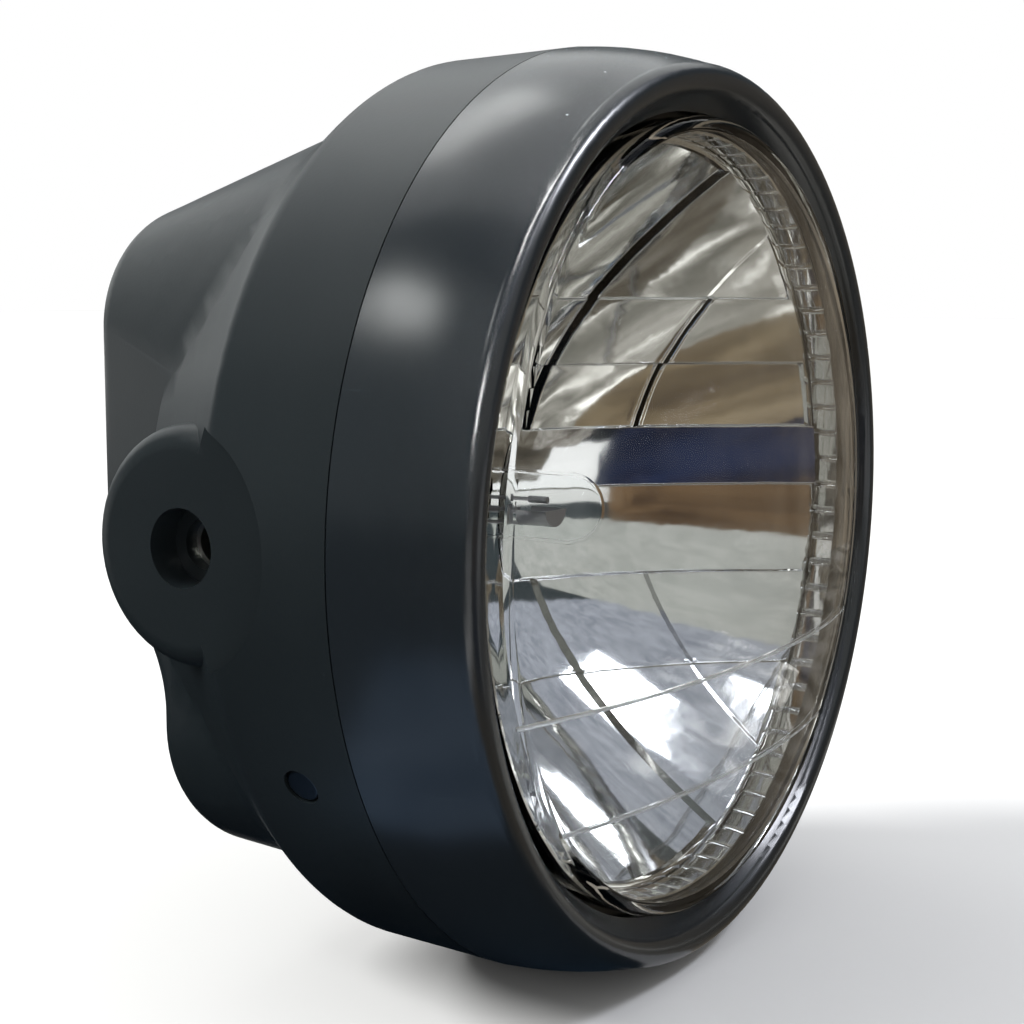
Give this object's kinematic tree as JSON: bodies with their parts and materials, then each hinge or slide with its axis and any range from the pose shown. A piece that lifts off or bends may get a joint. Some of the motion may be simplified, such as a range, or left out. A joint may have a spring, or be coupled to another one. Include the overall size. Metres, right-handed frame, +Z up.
{
  "type": "motorcycle headlight",
  "caption": "Round motorcycle headlight: moulded black case with side pivot bosses, glossy rim, domed clear lens and faceted reflector with a bulb behind it.",
  "frame": {"origin": "middle of the pivot axis, on the lamp axis", "axes": "+X along the pivot axis, to the right as seen from in front of the lamp, -Y is the way the lens faces, +Z up"},
  "size_m": [0.2006, 0.1371, 0.2006],
  "materials": {
    "case_plastic": "fine-grained black moulding",
    "rim_plastic": "semi-gloss black",
    "lens_glass": "clear, polished",
    "reflector_mirror": "bright metal coating",
    "gasket_rubber": "matt",
    "sealant": "matt bead",
    "zinc_steel": "zinc plated",
    "black_steel": "blackened",
    "cap_steel": "bright sheet",
    "bulb_glass": "clear",
    "insulator_plastic": "pale moulding",
    "terminal_brass": "plain",
    "tungsten": "drawn wire",
    "spring_steel": "bright wire",
    "boot_rubber": "soft matt"
  },
  "bodies": {
    "root": {"case": "case_plastic", "rim": "rim_plastic", "lens": "lens_glass", "reflector": "reflector_mirror", "lens_gasket": "gasket_rubber", "lens_sealant": "sealant", "unit_screws": "zinc_steel", "rim_screws": "black_steel", "rim_nuts": "zinc_steel", "pivot_nuts": "zinc_steel", "wiring_grommet": "boot_rubber", "bulb_seat": "zinc_steel", "bulb_cap": "cap_steel", "bulb_glass": "bulb_glass", "bulb_insulator": "insulator_plastic", "bulb_terminals": "terminal_brass", "filaments": "tungsten", "filament_supports": "tungsten", "dip_shield": "tungsten", "bulb_clip": "spring_steel", "clip_screw": "zinc_steel", "dust_boot": "boot_rubber"}
  },
  "joints": []
}
